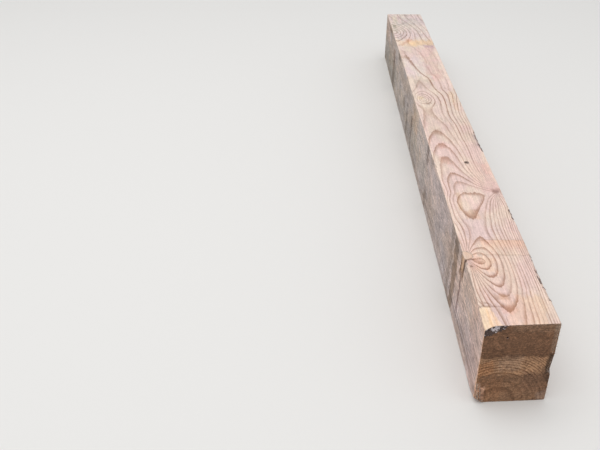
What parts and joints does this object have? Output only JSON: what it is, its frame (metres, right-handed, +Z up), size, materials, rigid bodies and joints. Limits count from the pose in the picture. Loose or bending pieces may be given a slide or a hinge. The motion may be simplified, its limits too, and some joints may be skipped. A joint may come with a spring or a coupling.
{
  "type": "timber batten",
  "caption": "Short length of rough-sawn softwood, rectangular in section, with waney arrises, a spike knot and one end cut slightly out of square.",
  "frame": {"origin": "middle of the underside", "axes": "+X across the piece to the right, +Y along it away from the end that is cut out of square, +Z up"},
  "size_m": [0.075, 1.0898, 0.1],
  "materials": {
    "sawn_softwood": "rough-sawn softwood, pinkish tan with brown-red growth rings, greyed on the sides, dark and damp on the sawn ends"
  },
  "bodies": {
    "root": {"batten": "sawn_softwood"}
  },
  "joints": []
}
